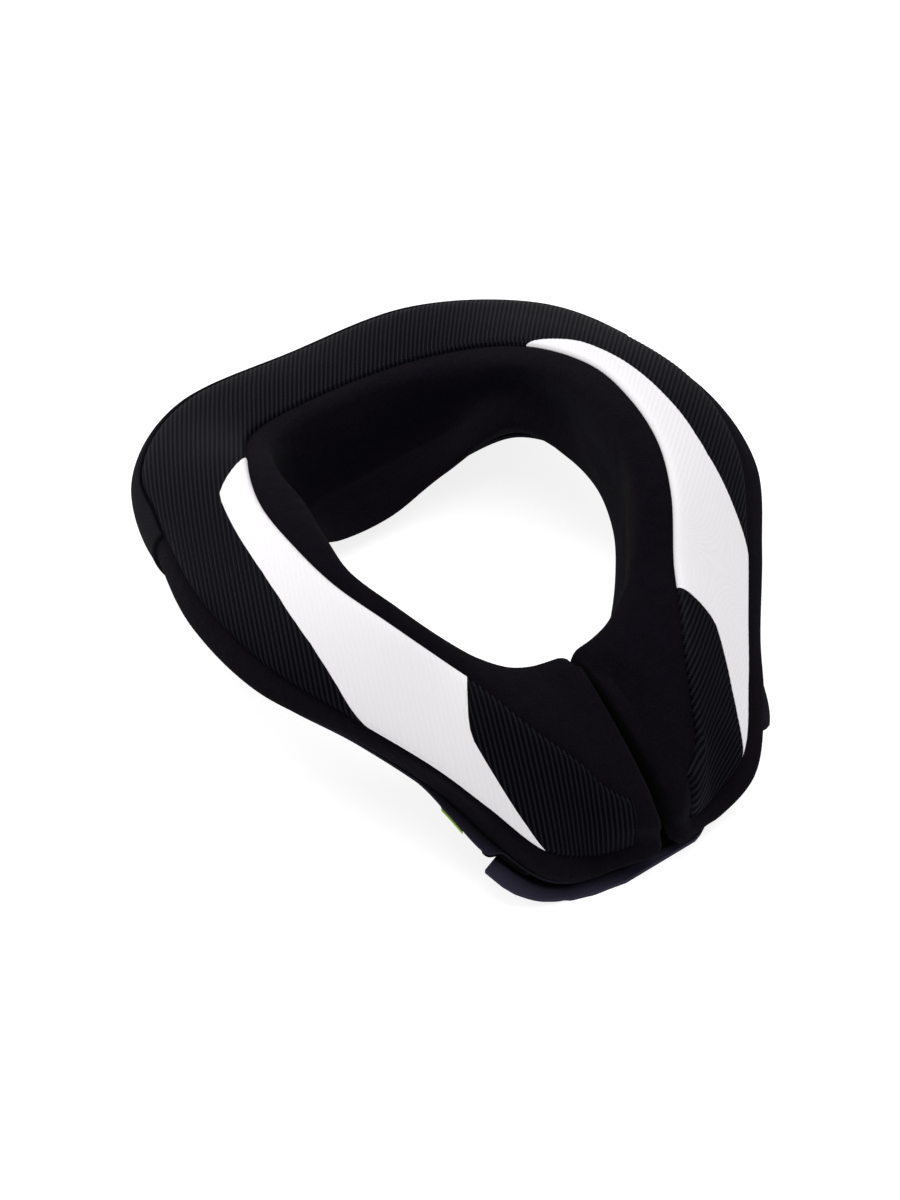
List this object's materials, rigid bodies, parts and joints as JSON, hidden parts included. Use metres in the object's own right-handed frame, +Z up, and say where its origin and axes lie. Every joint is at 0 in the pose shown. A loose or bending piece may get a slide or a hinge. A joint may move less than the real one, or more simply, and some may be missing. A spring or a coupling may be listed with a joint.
{
  "type": "motocross neck roll",
  "caption": "Padded foam collar with raised shoulders, ribbed top panel and white side flashes, split at the front and closed by a hook-and-loop strap.",
  "frame": {"origin": "middle of the footprint, on the surface that the collar rests on", "axes": "+Z up, +Y towards the back of the neck, the front split faces -Y, +X to the right as seen from the front"},
  "size_m": [0.2636, 0.3258, 0.1062],
  "materials": {
    "fleece": "matte brushed fleece",
    "ribbed_cloth": "ribbed synthetic with a low sheen",
    "white_print": "matte print over faint ribs",
    "grey_cloth": "matte knit",
    "base_cloth": "matte woven",
    "strap_cloth": "smooth loop cloth",
    "hook_tape": "rough hook tape",
    "label_cloth": "matte woven tab"
  },
  "bodies": {
    "root": {"fleece_roll": "fleece", "ribbed_panel": "ribbed_cloth", "white_flash_left": "white_print", "white_flash_right": "white_print", "back_band": "grey_cloth", "base_panel": "base_cloth", "closure_strap": "strap_cloth", "hook_tape": "hook_tape", "side_label": "label_cloth"}
  },
  "joints": []
}
